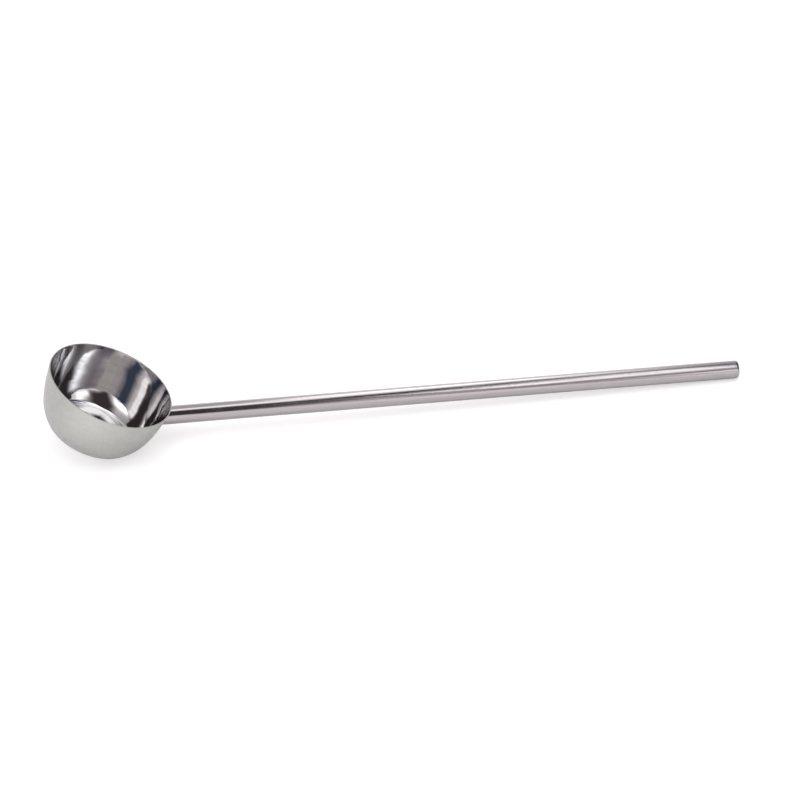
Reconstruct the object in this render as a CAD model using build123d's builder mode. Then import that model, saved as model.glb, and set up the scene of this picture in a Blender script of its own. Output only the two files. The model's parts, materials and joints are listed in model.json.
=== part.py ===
from build123d import *
from math import asin, atan2, cos, hypot, radians, sin, tan
import os

# Stainless steel water dipper: a drawn bowl with a straight pipe welded to its side.
# It lies as it does on a table, on the bowl's heel and the handle's tip, with +X towards the
# tip, +Z up, and its origin under the middle of the whole length. All lengths are millimetres.

# Bowl, drawn from one disc of sheet, and measured on its outside
rim_radius = 45.4
straight_wall_height = 18.4
wall_lean_angle = 9.1
heel_radius = 4.6
heel_turn_angle = 48.2
sheet_thickness = 0.8

# Handle pipe, and the place on the bowl's wall that its axis runs to
handle_radius = 6.5
pipe_wall = 0.8
handle_length = 418.0
handle_rise_angle = 21.8
root_below_rim = 15.9

# Plug in the pipe's free end
plug_head_length = 3.0
plug_round_radius = 2.0
plug_spigot_length = 9.0
plug_clearance = 0.05
spigot_lead_length = 0.8

# Weld bead round the root of the pipe, the same width on the pipe and on the bowl
bead_width = 1.5

# The same angles for the sums below
wall_lean = radians(wall_lean_angle)
heel_turn = radians(heel_turn_angle)
handle_rise = radians(handle_rise_angle)

# The bowl's outline in its own section: x out from its axis, y up from its base. Its shoulder is
# part of a ball centred on the axis, which the straight wall and the heel both run into smoothly.
shoulder_radius = (rim_radius - straight_wall_height * tan(wall_lean)) / cos(wall_lean)
base_radius = (shoulder_radius - heel_radius) * sin(heel_turn)
bowl_depth = (
    straight_wall_height
    + shoulder_radius * (cos(heel_turn) - sin(wall_lean))
    + heel_radius * (1 - cos(heel_turn))
)
shoulder_turn_angle = 90 - wall_lean_angle - heel_turn_angle
shoulder_y = heel_radius + (shoulder_radius - heel_radius) * cos(heel_turn)
root_x = rim_radius - root_below_rim * tan(wall_lean)
root_y = bowl_depth - root_below_rim

# The tip's rounded edge, which touches the table together with the bowl's heel
edge_along = handle_length - plug_round_radius
edge_out = handle_radius - plug_round_radius
edge_x = root_x + edge_along * cos(handle_rise) + edge_out * sin(handle_rise)
edge_y = root_y + edge_along * sin(handle_rise) - edge_out * cos(handle_rise)
heel_to_edge = hypot(edge_x - base_radius, edge_y - heel_radius)
tilt = atan2(edge_y - heel_radius, edge_x - base_radius) + asin(
    (heel_radius - plug_round_radius) / heel_to_edge
)
handle_pitch = handle_rise - tilt

# How far the tilted dipper reaches to each side of the middle of its base
reach_back = shoulder_radius - shoulder_y * sin(tilt)
reach_front = (
    root_x * cos(tilt)
    + root_y * sin(tilt)
    + edge_along * cos(handle_pitch)
    + edge_out * abs(sin(handle_pitch))
    + plug_round_radius
)
base_x = (reach_back - reach_front) / 2
base_z = base_radius * sin(tilt) + heel_radius * (1 - cos(tilt))

# Planes that the pieces are drawn on
bowl_section = Plane(
    origin=(base_x, 0, base_z),
    x_dir=(cos(tilt), 0, -sin(tilt)),
    z_dir=(0, -1, 0),
)
bowl_axis = Axis(bowl_section.origin, bowl_section.y_dir)
root_plane = Plane(
    origin=bowl_section.from_local_coords(Vector(root_x, root_y, 0)),
    x_dir=(0, 1, 0),
    z_dir=(cos(handle_pitch), 0, sin(handle_pitch)),
)
pipe_end_plane = root_plane.offset(handle_length - plug_head_length)
handle_axis = Axis(root_plane.origin, root_plane.z_dir)


def bowl_form(inset):
    """Solid turned from the bowl's outline, drawn in by the inset."""
    with BuildPart() as form:
        with BuildSketch(bowl_section):
            with BuildLine():
                base = Line((0, inset), (base_radius, inset))
                heel = JernArc(base @ 1, base % 1, heel_radius - inset, heel_turn_angle)
                shoulder = JernArc(heel @ 1, heel % 1, shoulder_radius - inset, shoulder_turn_angle)
                wall = Line(shoulder @ 1, (rim_radius - inset / cos(wall_lean), bowl_depth))
                Polyline(wall @ 1, (0, bowl_depth), base @ 0)
            make_face()
        revolve(axis=bowl_axis)
    return form.part


bowl_outside = bowl_form(0)
bowl_inside = bowl_form(sheet_thickness)

# Bowl, its rim trimmed square to its axis
with BuildPart() as bowl:
    add(bowl_outside)
    add(bowl_inside, mode=Mode.SUBTRACT)

# Handle pipe, its root coped to the outside of the bowl
with BuildPart() as handle_tube:
    with BuildSketch(root_plane.offset(-handle_radius)):
        Circle(handle_radius)
        Circle(handle_radius - pipe_wall, mode=Mode.SUBTRACT)
    extrude(amount=handle_radius + handle_length - plug_head_length)
    add(bowl_outside, mode=Mode.SUBTRACT)

# Weld bead, a mitred band in the corner between the pipe and the bowl
with BuildPart() as handle_rod:
    with BuildSketch(root_plane.offset(-handle_radius)):
        Circle(handle_radius)
    extrude(amount=handle_radius + handle_length)

with BuildPart() as root_weld:
    add(bowl_outside)
    add(handle_rod.part)
    chamfer(root_weld.edges(Select.NEW), length=bead_width)
    add(bowl_outside, mode=Mode.SUBTRACT)
    add(handle_rod.part, mode=Mode.SUBTRACT)

# Plug, its head flush with the pipe and its spigot in the bore
with BuildPart() as end_cap:
    with BuildSketch(pipe_end_plane):
        Circle(handle_radius)
    extrude(amount=plug_head_length)
    fillet(end_cap.faces().sort_by(handle_axis)[-1].edges(), radius=plug_round_radius)
    with BuildSketch(pipe_end_plane):
        Circle(handle_radius - pipe_wall - plug_clearance)
    extrude(amount=-plug_spigot_length)
    chamfer(end_cap.faces().sort_by(handle_axis)[0].edges(), length=spigot_lead_length)

bowl.part.label = "bowl"
handle_tube.part.label = "handle_tube"
root_weld.part.label = "root_weld"
end_cap.part.label = "end_cap"

os.makedirs("parts", exist_ok=True)
export_step(bowl.part, "parts/bowl.step")
export_step(handle_tube.part, "parts/handle_tube.step")
export_step(root_weld.part, "parts/root_weld.step")
export_step(end_cap.part, "parts/end_cap.step")
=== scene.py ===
import json
from math import atan2, cos, hypot, pi, radians, sin
from types import SimpleNamespace

import bmesh
import bpy
from bpy.props import FloatProperty, FloatVectorProperty, IntProperty, PointerProperty
from mathutils import Matrix, Vector
from mathutils.bvhtree import BVHTree


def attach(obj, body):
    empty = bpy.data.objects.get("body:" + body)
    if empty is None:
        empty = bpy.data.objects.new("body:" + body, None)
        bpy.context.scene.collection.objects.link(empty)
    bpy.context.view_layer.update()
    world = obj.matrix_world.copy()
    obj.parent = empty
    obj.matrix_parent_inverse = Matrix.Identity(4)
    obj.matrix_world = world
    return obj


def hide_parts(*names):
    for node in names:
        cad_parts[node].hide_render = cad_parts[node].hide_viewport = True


bl_info = {
    "name": "Steel water dipper",
    "version": (1, 0, 0),
    "blender": (4, 5, 0),
    "location": "3D Viewport > Sidebar > Dipper",
    "description": "A spun steel bowl with a welded pipe handle, and a small studio to see it in",
    "category": "Add Mesh",
}

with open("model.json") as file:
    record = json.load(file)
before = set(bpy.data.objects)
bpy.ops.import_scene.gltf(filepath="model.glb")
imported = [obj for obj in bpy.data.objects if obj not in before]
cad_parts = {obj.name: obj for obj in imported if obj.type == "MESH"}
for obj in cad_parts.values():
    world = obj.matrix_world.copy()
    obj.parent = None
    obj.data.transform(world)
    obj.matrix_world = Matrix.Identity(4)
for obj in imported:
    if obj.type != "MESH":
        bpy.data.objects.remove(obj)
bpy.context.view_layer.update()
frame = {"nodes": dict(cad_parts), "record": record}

PHOTO_WIDTH = 800
SENSOR_WIDTH = 36.0
FULL_TURN = 2 * pi
MERGE_DISTANCE = 1e-6
# Edges sharper than these angles, in degrees, are shaded as edges
SHARP_ANGLE = 35.0
BEAD_SHARP_ANGLE = 60.0
# A narrow ring of faces beside an edge keeps the shading of the long faces next to it even
EDGE_MARGIN = 0.0006
HEEL_MARGIN = 0.0012
# Faces turned to this height on the bowl's axis, a share of its depth, are its inside
MIDDLE_SHARE = 0.7
# The pipe's root is coped over this many of its radii
COPED_RADII = 1.6
# Steps round the weld bead's seam and round its own section
BEAD_STEPS = 264
BEAD_SECTION_STEPS = 28
# How far a point of the bead's section may lie past its side and still be on it, in its radii
BEAD_SLACK = 0.01
# How much the bead's ripples lean from the bowl to the pipe, in radians
RIPPLE_LEAN = 0.5


def length_property(name, description, default):
    return FloatProperty(
        name=name, description=description, default=default, min=0.0, precision=5,
        subtype="DISTANCE", unit="LENGTH",
    )


def angle_property(name, description, degrees):
    return FloatProperty(
        name=name, description=description, default=radians(degrees), subtype="ANGLE",
        unit="ROTATION",
    )


def colour_property(name, description, default):
    return FloatVectorProperty(
        name=name, description=description, default=default, size=3, min=0.0, max=1.0,
        subtype="COLOR",
    )


def share_property(name, description, default):
    return FloatProperty(
        name=name, description=description, default=default, min=0.0, max=1.0, subtype="FACTOR",
    )


class DipperBowlSettings(bpy.types.PropertyGroup):
    rim_radius: length_property("Rim Radius", "Outside radius of the rim", 0.0454)
    depth: length_property("Depth", "Height of the rim over the base", 0.041791)
    base_radius: length_property("Base Radius", "Radius of the flat base", 0.028622)
    heel_radius: length_property("Heel Radius", "Outside radius of the heel", 0.0046)
    heel_turn: angle_property("Heel Turn", "Slope of the side above the heel", 50.0)
    heel_run: length_property("Heel Run", "Straight slope above the heel", 0.0026)
    belly_turn: angle_property("Belly Turn", "Slope of the side above the belly", 70.2)
    flank_radius: length_property("Flank Radius", "Radius between belly and wall", 0.0849)
    wall_turn: angle_property("Wall Turn", "Slope of the straight wall under the rim", 82.2)
    sheet: length_property("Sheet", "Thickness of the steel sheet", 0.0008)
    rim_round: length_property("Rim Rounding", "Rounding on both edges of the rim", 0.00022)
    turns: IntProperty(
        name="Turned Steps", description="Steps round the bowl", default=224, min=48, max=512)
    polished: colour_property("Polished", "Colour of the polished inside", (0.66, 0.65, 0.655))
    satin: colour_property("Satin", "Colour of the satin outside", (0.518, 0.521, 0.499))
    satin_roughness: share_property("Satin Roughness", "Roughness of the outside", 0.29)


class DipperHandleSettings(bpy.types.PropertyGroup):
    pipe_radius: length_property("Pipe Radius", "Outside radius of the pipe", 0.0065)
    pipe_wall: length_property("Pipe Wall", "Wall of the pipe", 0.0008)
    length: length_property("Length", "From the bowl's wall to the tip, on the axis", 0.418)
    rise: angle_property("Rise", "Angle between the handle and the bowl's base", 21.8)
    root_out: length_property("Root Out", "Where its axis meets the wall, outwards", 0.042853)
    root_up: length_property("Root Up", "Where its axis meets the wall, upwards", 0.025891)
    plug_head: length_property("Plug Head", "Length of the plug that shows", 0.003)
    plug_round: length_property("Plug Rounding", "Rounding of the plug's edge", 0.002)
    plug_spigot: length_property("Plug Spigot", "Length of the plug inside the pipe", 0.009)
    plug_clearance: length_property("Plug Clearance", "Gap round the spigot", 0.00005)
    spigot_lead: length_property("Spigot Lead", "Chamfer on the spigot", 0.0008)
    seam: length_property("Seam", "Chamfer on each side of the plug's seam", 0.00012)
    turns: IntProperty(
        name="Turned Steps", description="Steps round the pipe", default=96, min=24, max=256)
    steel: colour_property("Steel", "Colour of the pipe and its plug", (0.515, 0.485, 0.495))


class DipperWeldSettings(bpy.types.PropertyGroup):
    width: length_property("Bead Width", "How far the bead runs out on each side", 0.0015)
    crown: FloatProperty(
        name="Crown", description="Form of the bead, from 1, flat, to 2, round",
        default=1.25, min=1.0, max=2.0)
    sunk: length_property("Sunk", "How deep the bead runs into the steel", 0.0003)
    ripples: IntProperty(
        name="Ripples", description="Ripples round the bead", default=44, min=0, max=200)
    ripple_height: length_property("Ripple Height", "Height of a ripple", 0.00004)
    steel: colour_property("Steel", "Colour of the dressed bead", (0.58, 0.565, 0.545))


class DipperStageSettings(bpy.types.PropertyGroup):
    lens: FloatProperty(
        name="Lens", description="Focal length", default=159.8406, min=1.0, unit="CAMERA")
    distance: length_property("Distance", "From the camera to its target", 2.50025)
    target: FloatVectorProperty(
        name="Target", description="Point that the camera looks at", size=3,
        default=(-0.018297, 0.0, 0.04), subtype="XYZ", unit="LENGTH")
    azimuth: angle_property("Azimuth", "Turn of the camera round the dipper", -9.4)
    elevation: angle_property("Elevation", "Height angle of the camera", 38.223)
    target_px: FloatVectorProperty(
        name="Target In Picture", description="Where the target lies in the picture, in pixels",
        size=2, default=(371.084, 370.011))
    floor_size: length_property("Floor", "Side of the square floor", 12.0)
    floor_colour: colour_property("Floor Colour", "Pale matt table", (0.72, 0.72, 0.72))
    floor_glow: FloatProperty(
        name="Floor Glow", description="Light that comes through the table from below",
        default=0.07, min=0.0)
    floor_lift: FloatProperty(
        name="Floor Lift", description="More light on the table as the camera sees it",
        default=0.36, min=0.0)
    # Painted light: a soft pool of glow on the table in front of the bowl, which the satin outside
    # reflects as a painted highlight
    painted_light_pool: FloatProperty(
        name="Floor Patch", description="More light through the table in front of the bowl",
        default=0.36, min=0.0)
    painted_pool_centre: FloatVectorProperty(
        name="Patch Centre", description="Middle of the brighter patch of the table", size=3,
        default=(-0.295, -0.18, 0.0), subtype="XYZ", unit="LENGTH")
    painted_pool_radius: length_property("Patch Radius", "How far the brighter patch fades out", 0.22)


def rest_geometry(scene):
    """Where the bowl and the handle lie, from the frame's mount under the bowl's base."""
    handle = scene.dipper_handle
    mount = next(item for item in frame["record"]["mounts"] if item["name"] == "bowl_base")
    base, up = Vector(mount["pos_m"]), -Vector(mount["axis"])
    tilt = atan2(up.x, up.z)
    pitch = handle.rise - tilt
    bowl_matrix = Matrix.Translation(base) @ Matrix.Rotation(tilt, 4, "Y")
    root = bowl_matrix @ Vector((handle.root_out, 0.0, handle.root_up))
    along, side = Vector((cos(pitch), 0.0, sin(pitch))), Vector((0.0, 1.0, 0.0))
    turn = Matrix((side, along.cross(side), along)).transposed().to_4x4()
    return SimpleNamespace(
        tilt=tilt, pitch=pitch, base=base, root=root, bowl_matrix=bowl_matrix,
        handle_matrix=Matrix.Translation(root) @ turn,
    )


def bend_reach(radius, start, end):
    """How far an arc of this radius goes out and up, while its slope turns from start to end."""
    return Vector((sin(end) - sin(start), cos(start) - cos(end))) * radius


class ProfilePen:
    """Draws a section in the XZ plane, where slopes are angles from X up towards Z."""

    def __init__(self, bm, x, z):
        self.bm = bm
        self.tip = bm.verts.new((x, 0.0, z))
        self.slope = 0.0

    def line(self, x, z, steps=1):
        """Goes straight to a point."""
        start, end = self.tip.co.copy(), Vector((x, 0.0, z))
        for step in range(steps):
            self.tip = bmesh.ops.extrude_vert_indiv(self.bm, verts=[self.tip])["verts"][0]
            self.tip.co = start.lerp(end, (step + 1) / steps)

    def run(self, length, steps):
        """Goes straight on along the slope."""
        tip = self.tip.co
        self.line(tip.x + length * cos(self.slope), tip.z + length * sin(self.slope), steps)

    def bend(self, radius, slope, steps):
        """Goes on along an arc until its slope is the given one."""
        side = 1 if slope > self.slope else -1
        reach = Vector((-sin(self.slope), 0.0, cos(self.slope))) * radius * side
        spun = bmesh.ops.spin(
            self.bm, geom=[self.tip], cent=self.tip.co + reach, axis=(0.0, -1.0, 0.0),
            angle=slope - self.slope, steps=steps, use_merge=False)
        self.tip = next(item for item in spun["geom_last"] if isinstance(item, bmesh.types.BMVert))
        self.slope = slope


def turn_profile(bm, steps):
    """Turns the drawn section a full turn round Z, and closes its seam and its poles."""
    bmesh.ops.spin(
        bm, geom=bm.verts[:] + bm.edges[:], cent=(0.0, 0.0, 0.0), axis=(0.0, 0.0, 1.0),
        angle=FULL_TURN, steps=steps, use_merge=True)
    bmesh.ops.remove_doubles(bm, verts=bm.verts, dist=MERGE_DISTANCE)
    bmesh.ops.recalc_face_normals(bm, faces=bm.faces)


def round_corners(bm, corners, size, steps):
    """Rounds corners of a section that isn't turned yet."""
    bmesh.ops.bevel(
        bm, geom=corners, offset=size, offset_type="OFFSET", segments=steps, profile=0.5,
        affect="VERTICES", material=-1)


def finish_piece(bm, name, materials, node, sharp_angle=SHARP_ANGLE):
    """Makes the bmesh a shaded piece that stands for its CAD node."""
    mesh = bpy.data.meshes.new(name)
    bm.to_mesh(mesh)
    bm.free()
    for material in materials:
        mesh.materials.append(material)
    mesh.shade_smooth()
    mesh.set_sharp_from_angle(angle=radians(sharp_angle))
    piece = bpy.data.objects.new(name, mesh)
    bpy.context.scene.collection.objects.link(piece)
    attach(piece, "root")
    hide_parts(node)
    cad_node = frame["nodes"][node]
    cad_node.data.materials.clear()
    cad_node.data.materials.append(materials[0])


# Materials

class NodeBench:
    """Adds and joins the nodes of one material or group."""

    def __init__(self, tree):
        self.tree = tree

    def add(self, kind, inputs=(), **values):
        """A new node, each input set to a value or joined to another node's output."""
        node = self.tree.nodes.new(kind)
        for key, value in values.items():
            setattr(node, key, value)
        for key, value in dict(inputs).items():
            if isinstance(value, bpy.types.NodeSocket):
                self.tree.links.new(value, node.inputs[key])
            else:
                node.inputs[key].default_value = value
        return node

    def math(self, operation, first, second=0.0, third=0.0):
        inputs = {0: first, 1: second, 2: third}
        return self.add("ShaderNodeMath", inputs, operation=operation).outputs[0]

    def summed(self, base, *parts):
        """The base, plus each varying value times its share."""
        total = base
        for value, share in parts:
            total = self.math("MULTIPLY_ADD", value, share, total)
        return total

    def vector(self, operation, first, second):
        return self.add("ShaderNodeVectorMath", {0: first, 1: second}, operation=operation).outputs

    def scaled(self, vector, scale):
        return self.vector("MULTIPLY", vector, scale)[0]

    def spread(self, value, low, high, out_low=0.0, out_high=1.0, kind="LINEAR"):
        """The value, which runs from low to high, made to run from out_low to out_high."""
        node = self.add(
            "ShaderNodeMapRange",
            {"Value": value, "From Min": low, "From Max": high, "To Min": out_low,
             "To Max": out_high},
            interpolation_type=kind)
        return node.outputs["Result"]

    def fade(self, value, full, gone, level=1.0):
        """The level up to the value full, fading softly to nothing at the value gone."""
        return self.spread(value, full, gone, level, 0.0, "SMOOTHSTEP")

    def noise(self, vector, scale, detail=3.0, roughness=0.5, distortion=0.0):
        node = self.add(
            "ShaderNodeTexNoise",
            {"Vector": vector, "Scale": scale, "Detail": detail, "Roughness": roughness,
             "Distortion": distortion})
        return node.outputs["Fac"]

    def bump(self, height, depth, under=None):
        """A normal with relief of this height and depth, over the relief under it."""
        inputs = {"Height": height, "Distance": depth}
        if under is not None:
            inputs["Normal"] = under
        return self.add("ShaderNodeBump", inputs).outputs["Normal"]

    def tinted(self, colour, variation, dark, light):
        """The colour, a little darker and lighter where the variation says."""
        node = self.add("ShaderNodeMix", data_type="RGBA")
        self.tree.links.new(variation, node.inputs["Factor"])
        for socket in node.inputs:
            if socket.type == "RGBA":
                share = dark if socket.name == "A" else light
                socket.default_value = [min(part * share, 1.0) for part in colour] + [1.0]
        return next(out for out in node.outputs if out.type == "RGBA")


def new_group(name, inputs, outputs):
    """A shader group with these sockets, and its bench, inputs and output node."""
    group = bpy.data.node_groups.new(name, "ShaderNodeTree")
    for socket_name, kind, default in inputs:
        socket = group.interface.new_socket(name=socket_name, in_out="INPUT", socket_type=kind)
        if default is not None:
            socket.default_value = default
    for socket_name, kind in outputs:
        group.interface.new_socket(name=socket_name, in_out="OUTPUT", socket_type=kind)
    bench = NodeBench(group)
    return group, bench, bench.add("NodeGroupInput").outputs, bench.add("NodeGroupOutput").inputs


def fine_lines_group():
    """Fine polishing lines, and wide bands of them, along the axis that is stretched."""
    group, bench, given, put = new_group(
        "fine_lines",
        [("Vector", "NodeSocketVector", None), ("Density", "NodeSocketFloat", 1.0)],
        [("Lines", "NodeSocketFloat"), ("Bands", "NodeSocketFloat")])
    band_share = 0.13
    fine = bench.noise(given["Vector"], given["Density"], detail=4.0, roughness=0.7)
    wide_density = bench.math("MULTIPLY", given["Density"], band_share)
    wide = bench.noise(given["Vector"], wide_density, detail=2.0)
    bench.tree.links.new(bench.spread(fine, low=0.3, high=0.7), put["Lines"])
    bench.tree.links.new(bench.spread(wide, low=0.35, high=0.65), put["Bands"])
    return group


def handling_wear_group():
    """Cloudy handling haze and sparse crossing hairlines."""
    group, bench, given, put = new_group(
        "handling_wear",
        [("Vector", "NodeSocketVector", None), ("Scale", "NodeSocketFloat", 1.0)],
        [("Haze", "NodeSocketFloat"), ("Hairlines", "NodeSocketFloat")])
    vector = bench.add(
        "ShaderNodeVectorMath", {0: given["Vector"], "Scale": given["Scale"]},
        operation="SCALE").outputs[0]
    cloud = bench.noise(vector, scale=38.0, detail=5.0, roughness=0.55, distortion=0.4)
    haze = bench.spread(cloud, low=0.42, high=0.72, kind="SMOOTHSTEP")
    bench.tree.links.new(haze, put["Haze"])
    # Two sets of hairlines: each one's turn in radians, and its density along and across
    hairlines = 0.0
    for turn, along, across in ((0.5, 24.0, 900.0), (-0.9, 24.0, 1100.0)):
        turned = bench.add(
            "ShaderNodeVectorRotate", {"Vector": vector, "Angle": turn},
            rotation_type="Z_AXIS").outputs[0]
        lines = bench.noise(bench.scaled(turned, (along, across, across)), scale=1.0, detail=1.0)
        lines = bench.spread(lines, low=0.70, high=0.76)
        hairlines = bench.math("MAXIMUM", hairlines, lines)
    bench.tree.links.new(hairlines, put["Hairlines"])
    return group


class SteelMaker:
    """Makes the dipper's steel finishes from the shared groups."""

    def __init__(self, geometry):
        self.geometry = geometry
        groups = bpy.data.node_groups
        self.fine_lines = groups.get("fine_lines") or fine_lines_group()
        self.handling_wear = groups.get("handling_wear") or handling_wear_group()

    def start(self, name):
        material = bpy.data.materials.new(name)
        material.use_nodes = True
        material.node_tree.nodes.clear()
        return material, NodeBench(material.node_tree)

    def dress(self, material, bench, colour, roughness, normal):
        """Gives the material its metal shader, with these three on it."""
        shader = bench.add(
            "ShaderNodeBsdfPrincipled",
            {"Metallic": 1.0, "Base Color": colour, "Roughness": roughness, "Normal": normal})
        bench.add("ShaderNodeOutputMaterial", {"Surface": shader.outputs["BSDF"]})
        return material

    def own_axes(self, bench, location, rotation):
        """Object coordinates with their origin and their turn on the piece."""
        where = bench.add("ShaderNodeTexCoord").outputs["Object"]
        return bench.add(
            "ShaderNodeMapping",
            {"Vector": where, "Location": location, "Rotation": rotation},
            vector_type="TEXTURE").outputs[0]

    def bowl_axes(self, bench):
        return self.own_axes(bench, self.geometry.base, (0.0, self.geometry.tilt, 0.0))

    def handle_axes(self, bench):
        return self.own_axes(bench, self.geometry.root, (0.0, -self.geometry.pitch, 0.0))

    def from_axis(self, bench, axes):
        """Distance from the bowl's axis."""
        flat = bench.scaled(axes, (1.0, 1.0, 0.0))
        return bench.add("ShaderNodeVectorMath", {0: flat}, operation="LENGTH").outputs["Value"]

    def ring_coordinates(self, bench, axes, round_share):
        """Coordinates whose fine detail runs in rings round the bowl's axis."""
        nearest = 0.0005
        parts = bench.add("ShaderNodeSeparateXYZ", {0: axes}).outputs
        out = self.from_axis(bench, axes)
        safe = bench.math("MAXIMUM", out, nearest)
        ring = bench.math("ADD", out, parts["Z"])
        x, y = (
            bench.math("MULTIPLY", bench.math("DIVIDE", parts[axis], safe), round_share)
            for axis in "XY")
        return bench.add("ShaderNodeCombineXYZ", {"X": x, "Y": y, "Z": ring}).outputs[0]

    def wear(self, bench, vector, scale=1.0):
        inputs = {"Vector": vector, "Scale": scale}
        return bench.add("ShaderNodeGroup", inputs, node_tree=self.handling_wear).outputs

    def lines(self, bench, vector, density):
        inputs = {"Vector": vector, "Density": density}
        return bench.add("ShaderNodeGroup", inputs, node_tree=self.fine_lines).outputs

    def polished_bowl(self, settings):
        """Mirror polish in fine rings, with a duller, turned pattern on the flat base."""
        material, bench = self.start("steel_mirror_polished")
        axes = self.bowl_axes(bench)
        out = self.from_axis(bench, axes)
        wear = self.wear(bench, axes)
        ring_axes = self.ring_coordinates(bench, axes, round_share=0.004)
        rings = self.lines(bench, ring_axes, density=2600.0)
        on_base = bench.fade(
            out, full=settings.base_radius - 0.0015, gone=settings.base_radius + 0.0005)
        roughness = bench.summed(
            0.02, (wear["Hairlines"], 0.06), (wear["Haze"], 0.035), (rings["Lines"], 0.015),
            (on_base, 0.09))
        across = bench.add("ShaderNodeCombineXYZ", {"Z": out}).outputs[0]
        turning = bench.math("MULTIPLY", bench.noise(across, scale=420.0, detail=1.0), on_base)
        waves = bench.noise(axes, scale=60.0, detail=2.0)
        normal = bench.bump(waves, depth=0.00012)
        normal = bench.bump(rings["Bands"], depth=0.000004, under=normal)
        normal = bench.bump(turning, depth=0.00008, under=normal)
        colour = bench.tinted(settings.polished, rings["Bands"], dark=0.95, light=1.03)
        return self.dress(material, bench, colour, roughness, normal)

    def satin_bowl(self, settings):
        """Satin brushed in fine rings, with shinier hairlines."""
        material, bench = self.start("steel_satin")
        axes = self.bowl_axes(bench)
        wear = self.wear(bench, axes)
        ring_axes = self.ring_coordinates(bench, axes, round_share=0.006)
        rings = self.lines(bench, ring_axes, density=6000.0)
        roughness = bench.summed(
            settings.satin_roughness - 0.05, (rings["Lines"], 0.06), (wear["Haze"], 0.05),
            (wear["Hairlines"], -0.10))
        normal = bench.bump(rings["Lines"], depth=0.000004)
        colour = bench.tinted(settings.satin, rings["Bands"], dark=0.985, light=1.01)
        return self.dress(material, bench, colour, roughness, normal)

    def polished_pipe(self, settings, name="steel_polished_pipe", lengthwise=True):
        """Polish whose lines run along the pipe, or across the plug's end."""
        material, bench = self.start(name)
        axes = self.handle_axes(bench)
        wear = self.wear(bench, axes)
        stretched = bench.scaled(axes, (0.012, 1.0, 1.0) if lengthwise else (1.0, 0.2, 0.2))
        drawn = self.lines(bench, stretched, density=2400.0)
        roughness = bench.summed(
            0.07, (drawn["Lines"], 0.08), (wear["Haze"], 0.05), (wear["Hairlines"], 0.10))
        normal = bench.bump(drawn["Lines"], depth=0.000008)
        normal = bench.bump(drawn["Bands"], depth=0.00001, under=normal)
        colour = bench.tinted(settings.steel, drawn["Bands"], dark=0.88, light=1.06)
        return self.dress(material, bench, colour, roughness, normal)

    def dressed_weld(self, settings):
        """Grainy, cloudy steel of a bead that was brushed clean by hand."""
        material, bench = self.start("steel_dressed_weld")
        axes = self.handle_axes(bench)
        wear = self.wear(bench, axes, scale=2.0)
        grain = bench.noise(axes, scale=1400.0)
        roughness = bench.summed(0.16, (grain, 0.14), (wear["Haze"], 0.08))
        normal = bench.bump(grain, depth=0.00003)
        clouds = bench.noise(axes, scale=220.0)
        colour = bench.tinted(settings.steel, clouds, dark=0.82, light=1.08)
        return self.dress(material, bench, colour, roughness, normal)


# Pieces

class DIPPER_OT_bowl(bpy.types.Operator):
    """Spin the bowl from one sheet, polished inside and satin outside"""
    bl_idname = "dipper.bowl"
    bl_label = "Bowl"

    def belly_radius(self, bowl):
        """The belly's radius, with which the side ends at the rim's radius and height."""
        start = Vector((bowl.base_radius, 0.0)) + bend_reach(bowl.heel_radius, 0, bowl.heel_turn)
        start += Vector((cos(bowl.heel_turn), sin(bowl.heel_turn))) * bowl.heel_run
        start += bend_reach(bowl.flank_radius, bowl.belly_turn, bowl.wall_turn)
        belly = bend_reach(1.0, bowl.heel_turn, bowl.belly_turn)
        wall = Vector((cos(bowl.wall_turn), sin(bowl.wall_turn)))
        missing = Vector((bowl.rim_radius, bowl.depth)) - start
        return (Matrix((belly, wall)).transposed().inverted() @ missing).x

    def draw_side(self, bm, bowl, inset):
        """Draws one side of the sheet, from the axis to the rim, and returns its last point."""
        pen = ProfilePen(bm, 0.0, inset)
        pen.line(bowl.base_radius - HEEL_MARGIN, inset, steps=3)
        pen.line(bowl.base_radius, inset)
        pen.bend(bowl.heel_radius - inset, bowl.heel_turn, steps=16)
        pen.run(bowl.heel_run, steps=3)
        pen.bend(self.belly_radius(bowl) - inset, bowl.belly_turn, steps=22)
        pen.bend(bowl.flank_radius - inset, bowl.wall_turn, steps=20)
        pen.run((bowl.depth - pen.tip.co.z) / sin(bowl.wall_turn), steps=9)
        return pen.tip

    def execute(self, context):
        settings = context.scene.dipper_bowl
        geometry = rest_geometry(context.scene)
        bm = bmesh.new()
        rim = [self.draw_side(bm, settings, inset) for inset in (0.0, settings.sheet)]
        bmesh.ops.contextual_create(bm, geom=rim)
        round_corners(bm, rim, settings.rim_round, steps=4)
        turn_profile(bm, settings.turns)
        middle = Vector((0.0, 0.0, settings.depth * MIDDLE_SHARE))
        for face in bm.faces:
            inside = face.normal.dot(middle - face.calc_center_median()) > 0
            face.material_index = 0 if inside else 1
        bmesh.ops.transform(bm, matrix=geometry.bowl_matrix, verts=bm.verts)
        maker = SteelMaker(geometry)
        finish_piece(
            bm, "spun_bowl", [maker.polished_bowl(settings), maker.satin_bowl(settings)],
            "bowl")
        return {"FINISHED"}


def bowl_outside_tree():
    """A search tree of the bowl's outside, without the polished inside."""
    bm = bmesh.new()
    bm.from_mesh(bpy.data.objects["spun_bowl"].data)
    inside = [face for face in bm.faces if face.material_index == 0]
    bmesh.ops.delete(bm, geom=inside, context="FACES")
    tree = BVHTree.FromBMesh(bm)
    bm.free()
    return tree


def seat_on_bowl(bowl_tree, matrix, x, y):
    """Where a line along the pipe at x, y of its section meets the bowl, from the root."""
    far = 0.02
    start = matrix @ Vector((x, y, far))
    along = -(matrix.to_3x3() @ Vector((0.0, 0.0, 1.0)))
    hit, _, _, distance = bowl_tree.ray_cast(start, along)
    if hit is None:
        raise RuntimeError("the pipe's root misses the bowl")
    return far - distance


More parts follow.
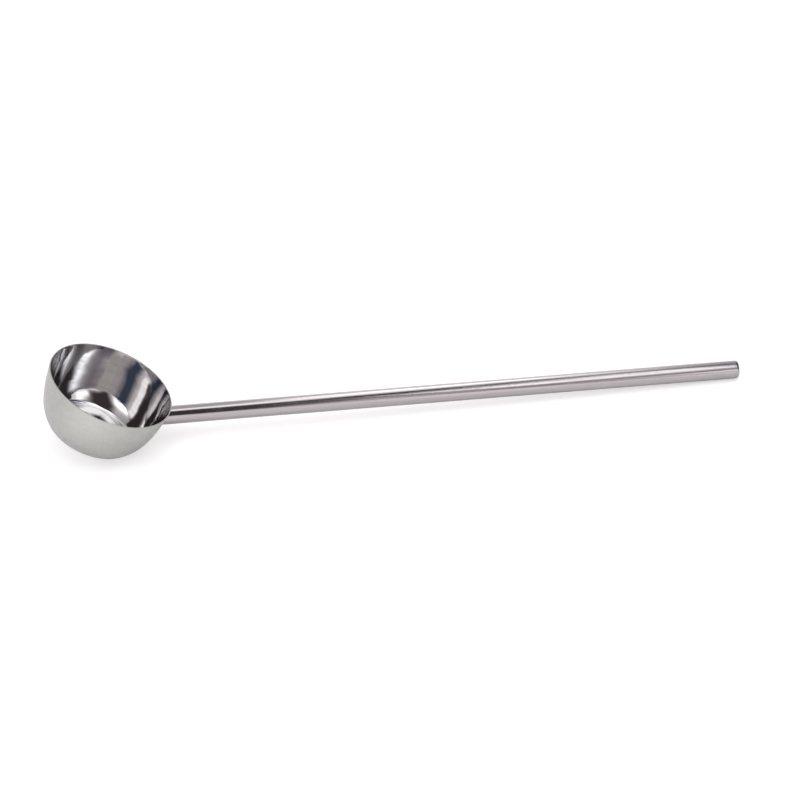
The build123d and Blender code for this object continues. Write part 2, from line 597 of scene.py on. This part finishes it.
class DIPPER_OT_handle(bpy.types.Operator):
    """Draw the pipe, and cope its root to the outside of the bowl"""
    bl_idname = "dipper.handle"
    bl_label = "Handle Pipe"

    def execute(self, context):
        settings = context.scene.dipper_handle
        geometry = rest_geometry(context.scene)
        end = settings.length - settings.plug_head
        bore = settings.pipe_radius - settings.pipe_wall
        near_root = settings.pipe_radius * COPED_RADII
        bm = bmesh.new()
        pen = ProfilePen(bm, settings.pipe_radius, 0.0)
        start = pen.tip
        pen.line(settings.pipe_radius, near_root, steps=4)
        pen.line(settings.pipe_radius, end - settings.seam - EDGE_MARGIN, steps=40)
        pen.line(settings.pipe_radius, end - settings.seam)
        pen.line(settings.pipe_radius - settings.seam, end)
        pen.line(bore, end)
        pen.line(bore, near_root, steps=8)
        pen.line(bore, 0.0, steps=4)
        bmesh.ops.contextual_create(bm, geom=[pen.tip, start])
        turn_profile(bm, settings.turns)
        self.cope(bm, bowl_outside_tree(), geometry.handle_matrix, near_root)
        bmesh.ops.transform(bm, matrix=geometry.handle_matrix, verts=bm.verts)
        steel = SteelMaker(geometry).polished_pipe(settings)
        finish_piece(bm, "handle_pipe", [steel], "handle_tube")
        return {"FINISHED"}

    def cope(self, bm, bowl_tree, matrix, near_root):
        """Moves the root's rings along the pipe, so that the last one lies on the bowl."""
        for vert in bm.verts:
            if vert.co.z < near_root - MERGE_DISTANCE:
                seat = seat_on_bowl(bowl_tree, matrix, vert.co.x, vert.co.y)
                share = vert.co.z / near_root
                vert.co.z = seat + (near_root - seat) * share


class DIPPER_OT_root_weld(bpy.types.Operator):
    """Lay the weld bead in the corner between the pipe and the bowl"""
    bl_idname = "dipper.root_weld"
    bl_label = "Root Weld"

    def execute(self, context):
        settings = context.scene.dipper_weld
        radius = context.scene.dipper_handle.pipe_radius
        geometry = rest_geometry(context.scene)
        bowl_tree = bowl_outside_tree()
        bm = bmesh.new()
        unit = radius / 4
        section = bmesh.ops.create_circle(
            bm, cap_ends=False, radius=unit, segments=BEAD_SECTION_STEPS)["verts"]
        stand = Matrix.Translation((radius, 0.0, 0.0)) @ Matrix.Rotation(pi / 2, 4, "X")
        bmesh.ops.transform(bm, matrix=stand, verts=section)
        turn_profile(bm, BEAD_STEPS)
        for vert in bm.verts:
            self.lay(vert, unit, radius, settings, bowl_tree, geometry.handle_matrix)
        bmesh.ops.recalc_face_normals(bm, faces=bm.faces)
        bmesh.ops.transform(bm, matrix=geometry.handle_matrix, verts=bm.verts)
        steel = SteelMaker(geometry).dressed_weld(settings)
        finish_piece(bm, "root_bead", [steel], "root_weld", BEAD_SHARP_ANGLE)
        return {"FINISHED"}

    def lay(self, vert, unit, radius, settings, bowl_tree, matrix):
        """Moves a point of the round ring into the corner that the bead fills."""
        round_angle = atan2(vert.co.y, vert.co.x)
        out = (hypot(vert.co.x, vert.co.y) - radius) / unit
        up = vert.co.z / unit
        if out >= -BEAD_SLACK and up >= -BEAD_SLACK:
            out, up = max(out, 0.0), max(up, 0.0)
            power = settings.crown
            norm = (out ** power + up ** power) ** (1 / power)
            ripple = 1.0
            if settings.ripples:
                swell = sin(settings.ripples * round_angle + RIPPLE_LEAN * (out - up))
                middle = 2.0 * min(out, up)
                ripple += middle * swell * settings.ripple_height / settings.width
            reach = settings.width * ripple / norm
        else:
            reach = settings.sunk
        out, up = out * reach, up * reach
        direction = Vector((cos(round_angle), sin(round_angle)))
        foot = direction * (radius + max(out, 0.0))
        seat = seat_on_bowl(bowl_tree, matrix, foot.x, foot.y)
        place = direction * (radius + out)
        vert.co = (place.x, place.y, seat + up)


class DIPPER_OT_end_plug(bpy.types.Operator):
    """Turn the rounded plug that closes the pipe"""
    bl_idname = "dipper.end_plug"
    bl_label = "End Plug"

    def execute(self, context):
        settings = context.scene.dipper_handle
        geometry = rest_geometry(context.scene)
        radius, tip = settings.pipe_radius, settings.length
        crown = radius - settings.plug_round
        spigot = radius - settings.pipe_wall - settings.plug_clearance
        shoulder = tip - settings.plug_head
        foot = shoulder - settings.plug_spigot
        bm = bmesh.new()
        pen = ProfilePen(bm, 0.0, tip)
        pen.line(crown - EDGE_MARGIN, tip, steps=3)
        pen.line(crown, tip)
        pen.bend(settings.plug_round, -pi / 2, steps=18)
        pen.line(radius, shoulder + settings.seam)
        pen.line(radius - settings.seam, shoulder)
        pen.line(spigot, shoulder)
        pen.line(spigot, foot + settings.spigot_lead, steps=4)
        pen.line(spigot - settings.spigot_lead, foot)
        pen.line(0.0, foot)
        turn_profile(bm, settings.turns)
        bmesh.ops.transform(bm, matrix=geometry.handle_matrix, verts=bm.verts)
        steel = SteelMaker(geometry).polished_pipe(
            settings, name="steel_polished_plug", lengthwise=False)
        finish_piece(bm, "end_plug", [steel], "end_cap")
        return {"FINISHED"}


# Stage

# Soft cards round the dipper: name, azimuth and elevation in degrees, distance, width, height,
# roll in degrees, width of the soft edge, brightness and colour
CARDS = (
    ("card_top_back", 145, 85, 0.6, 0.2, 0.8, 0, 0.14, 1.95, (1.0, 0.99, 1.0)),
    ("card_top_front", 66, 55, 2.5, 2.6, 1.4, 17, 0.09, 2.0, (1.0, 1.0, 1.0)),
    ("card_front_left", -57, 46, 1.2, 0.85, 0.14, -14, 0.28, 3.6, (0.94, 0.98, 1.0)),
    ("card_front_right", 42, 20.5, 1.4, 0.64, 0.34, -15, 0.19, 1.8, (1.0, 0.99, 0.98)),
    ("card_back_high", 164, 47, 2.7, 0.6, 1.5, 3, 0.18, 2.5, (1.0, 1.0, 1.0)),
    ("card_back", 176, 35, 0.6, 0.24, 0.4, -20, 0.18, 0.65, (1.0, 0.94, 0.95)),
    ("card_back_near", -170, 46, 0.3, 0.17, 0.24, 0, 0.05, 0.62, (1.0, 0.95, 0.91)),
    ("card_back_right", 136, 21, 2.2, 1.5, 1.3, 20, 0.15, 0.6, (1.0, 0.92, 0.94)),
    ("card_low_front", 27, 13, 1.6, 0.3, 0.2, 0, 0.20, 0.8, (1.0, 0.98, 0.98)),
    ("flag_front", -14, 53, 0.42, 0.34, 0.52, 14, 0.10, 0.05, (1.0, 0.80, 0.85)),
    ("flag_front_far", 4, 53, 1.0, 0.50, 0.47, 5, 0.12, 0.13, (1.0, 0.80, 0.9)),
    ("flag_overhead", 100, 82, 2.4, 0.8, 2.15, 73, 0.24, 0.03, (1.0, 0.85, 1.0)),
    ("flag_mid", 39, 37, 2.3, 2.2, 0.95, 45, 0.24, 0.34, (1.0, 0.85, 0.92)),
    ("flag_right", 98, 3, 0.6, 0.6, 1.45, -2, 0.27, 0.13, (0.52, 0.68, 1.0)),
    ("flag_left_low", -48, 22, 1.15, 0.45, 0.9, 20, 0.24, 0.50, (1.0, 0.88, 0.98)),
    ("flag_back_left", -138, 32, 0.6, 0.75, 0.45, 29, 0.30, 0.24, (1.0, 0.88, 0.98)),
    ("flag_upper_left", -100, 61, 0.8, 0.5, 0.3, 0, 0.24, 0.40, (1.0, 0.97, 1.0)),
)
# The cards face this point
CARD_TARGET = (-0.1, 0.0, 0.04)
# A card fades out over this share of its soft edge, inwards and outwards
EDGE_SHARE = 0.75
# Cards darker than this show only in the reflections, and don't change the light on the table
LIT_FROM = 0.3
# The light round the stage: its level with the dipper, and how that changes along X, Y and Z
WORLD_LEVEL = 1.3
WORLD_FALL = (-0.24, 0.08, -0.62)
WORLD_COLOUR = (1.0, 0.955, 0.975, 1.0)
WASH_SIZE = 4.0
WASH_POWER = 20.0
WASH_HEIGHT = 3.0
WHITE = (1.0, 1.0, 1.0, 1.0)
# A view into the polished bowl is passed on from wall to wall this many times at most
MIRROR_BOUNCES = 12


def facing(target, azimuth, elevation, distance):
    """The place of something that stands round the target, with +Z turned away from it."""
    away = Vector((sin(azimuth) * cos(elevation), -cos(azimuth) * cos(elevation), sin(elevation)))
    right = Vector((cos(azimuth), sin(azimuth), 0.0))
    turn = Matrix((right, away.cross(right), away)).transposed().to_4x4()
    return Matrix.Translation(Vector(target) + away * distance) @ turn


class DIPPER_OT_stage(bpy.types.Operator):
    """Set the table, the soft cards and the camera"""
    bl_idname = "dipper.stage"
    bl_label = "Stage"

    def execute(self, context):
        settings = context.scene.dipper_stage
        self.floor(settings)
        for card in CARDS:
            self.card(*card)
        self.world(context.scene)
        self.wash()
        self.camera(settings)
        context.scene.view_settings.view_transform = "Standard"
        context.scene.cycles.glossy_bounces = MIRROR_BOUNCES
        return {"FINISHED"}

    def stage_mesh(self, name, bm, material):
        mesh = bpy.data.meshes.new(name)
        bm.to_mesh(mesh)
        bm.free()
        mesh.materials.append(material)
        item = bpy.data.objects.new(name, mesh)
        bpy.context.scene.collection.objects.link(item)
        return item

    def floor(self, settings):
        """A matt table that glows a little, more where the camera sees it, and a soft painted pool
        of light.
        """
        material = bpy.data.materials.new("matt_table")
        material.use_nodes = True
        bench = NodeBench(material.node_tree)
        where = bench.add("ShaderNodeTexCoord").outputs["Object"]
        grain = bench.noise(where, scale=9.0, detail=4.0)
        seen = bench.add("ShaderNodeLightPath").outputs["Is Camera Ray"]
        glow = bench.math("MULTIPLY_ADD", seen, settings.floor_lift, settings.floor_glow)
        # Painted pool of light: extra glow on the table, fading out round a point in front of the
        # bowl
        away = bench.vector("DISTANCE", where, settings.painted_pool_centre)["Value"]
        painted_pool = bench.fade(away, 0.0, settings.painted_pool_radius, settings.painted_light_pool)
        colour = bench.tinted(settings.floor_colour, grain, dark=0.985, light=1.0)
        shader = material.node_tree.nodes["Principled BSDF"].inputs
        shader["Roughness"].default_value = 0.7
        shader["Specular IOR Level"].default_value = 0.2
        shader["Emission Color"].default_value = WHITE
        bench.tree.links.new(colour, shader["Base Color"])
        bench.tree.links.new(bench.math("ADD", glow, painted_pool), shader["Emission Strength"])
        bm = bmesh.new()
        bmesh.ops.create_grid(bm, x_segments=8, y_segments=8, size=settings.floor_size / 2)
        self.stage_mesh("table", bm, material)

    def card(self, name, azimuth, elevation, distance, width, height, roll, edge, glow, colour):
        """A glowing or dark card with soft edges, seen only in what it lights and reflects in."""
        material = bpy.data.materials.new(name)
        material.use_nodes = True
        material.node_tree.nodes.clear()
        bench = NodeBench(material.node_tree)
        where = bench.add("ShaderNodeTexCoord").outputs["Object"]
        parts = bench.add("ShaderNodeSeparateXYZ", {0: where}).outputs
        border = EDGE_SHARE * edge
        mask = 1.0
        for axis, size in (("X", width), ("Y", height)):
            out = bench.math("ABSOLUTE", parts[axis])
            side = bench.fade(out, size / 2 - border, size / 2 + border)
            mask = bench.math("MULTIPLY", side, mask)
        light = bench.add("ShaderNodeEmission", {"Color": (*colour, 1.0), "Strength": glow})
        clear = bench.add("ShaderNodeBsdfTransparent")
        mix = bench.add(
            "ShaderNodeMixShader", {0: mask, 1: clear.outputs[0], 2: light.outputs[0]})
        bench.add("ShaderNodeOutputMaterial", {"Surface": mix.outputs[0]})
        bm = bmesh.new()
        bmesh.ops.create_grid(bm, x_segments=1, y_segments=1, size=0.5)
        bmesh.ops.scale(bm, vec=(width + 2 * border, height + 2 * border, 1.0), verts=bm.verts)
        item = self.stage_mesh(name, bm, material)
        place = facing(CARD_TARGET, radians(azimuth), radians(elevation), distance)
        item.matrix_world = place @ Matrix.Rotation(radians(roll), 4, "Z")
        item.visible_camera = False
        item.visible_shadow = False
        item.visible_diffuse = glow > LIT_FROM

    def world(self, scene):
        """Light from all round, which changes evenly from side to side."""
        world = bpy.data.worlds.new("studio")
        scene.world = world
        world.use_nodes = True
        bench = NodeBench(world.node_tree)
        where = bench.add("ShaderNodeTexCoord").outputs["Generated"]
        fall = bench.vector("DOT_PRODUCT", where, WORLD_FALL)["Value"]
        background = world.node_tree.nodes["Background"].inputs
        bench.tree.links.new(bench.math("ADD", fall, WORLD_LEVEL), background["Strength"])
        background["Color"].default_value = WORLD_COLOUR

    def wash(self):
        """Even light from above that whitens the table and stays out of the reflections."""
        light = bpy.data.lights.new("wash", "AREA")
        light.shape = "SQUARE"
        light.size = WASH_SIZE
        light.energy = WASH_POWER
        item = bpy.data.objects.new("wash", light)
        item.location = (0.0, 0.0, WASH_HEIGHT)
        item.visible_glossy = False
        item.visible_camera = False
        bpy.context.scene.collection.objects.link(item)

    def camera(self, settings):
        """The camera, shifted so that its target lies where it does in the picture."""
        data = bpy.data.cameras.new("camera")
        data.sensor_width = SENSOR_WIDTH
        data.lens = settings.lens
        data.clip_start = 0.05
        data.clip_end = 50.0
        middle = PHOTO_WIDTH / 2
        data.shift_x = (middle - settings.target_px[0]) / PHOTO_WIDTH
        data.shift_y = (settings.target_px[1] - middle) / PHOTO_WIDTH
        item = bpy.data.objects.new("camera", data)
        item.matrix_world = facing(
            settings.target, settings.azimuth, settings.elevation, settings.distance)
        bpy.context.scene.collection.objects.link(item)
        bpy.context.scene.camera = item


class DIPPER_PT_panel(bpy.types.Panel):
    """Lists the dipper's pieces and sizes"""
    bl_idname = "DIPPER_PT_panel"
    bl_label = "Water Dipper"
    bl_space_type = "VIEW_3D"
    bl_region_type = "UI"
    bl_category = "Dipper"

    def draw(self, context):
        layout = self.layout
        for title, group, operators in PANEL_PARTS:
            box = layout.box()
            box.label(text=title)
            settings = getattr(context.scene, group)
            for name in settings.__annotations__:
                box.prop(settings, name)
            for operator in operators:
                box.operator(operator)


PANEL_PARTS = (
    ("Bowl", "dipper_bowl", ("dipper.bowl",)),
    ("Handle", "dipper_handle", ("dipper.handle", "dipper.end_plug")),
    ("Weld", "dipper_weld", ("dipper.root_weld",)),
    ("Stage", "dipper_stage", ("dipper.stage",)),
)
SETTINGS = {
    "dipper_bowl": DipperBowlSettings,
    "dipper_handle": DipperHandleSettings,
    "dipper_weld": DipperWeldSettings,
    "dipper_stage": DipperStageSettings,
}
CLASSES = (
    *SETTINGS.values(),
    DIPPER_OT_bowl,
    DIPPER_OT_handle,
    DIPPER_OT_root_weld,
    DIPPER_OT_end_plug,
    DIPPER_OT_stage,
    DIPPER_PT_panel,
)


def register():
    for item in CLASSES:
        bpy.utils.register_class(item)
    for name, settings in SETTINGS.items():
        setattr(bpy.types.Scene, name, PointerProperty(type=settings))


def unregister():
    for name in SETTINGS:
        delattr(bpy.types.Scene, name)
    for item in reversed(CLASSES):
        bpy.utils.unregister_class(item)


def main():
    register()
    bpy.ops.dipper.bowl()
    bpy.ops.dipper.handle()
    bpy.ops.dipper.root_weld()
    bpy.ops.dipper.end_plug()
    bpy.ops.dipper.stage()


if __name__ == "__main__":
    main()
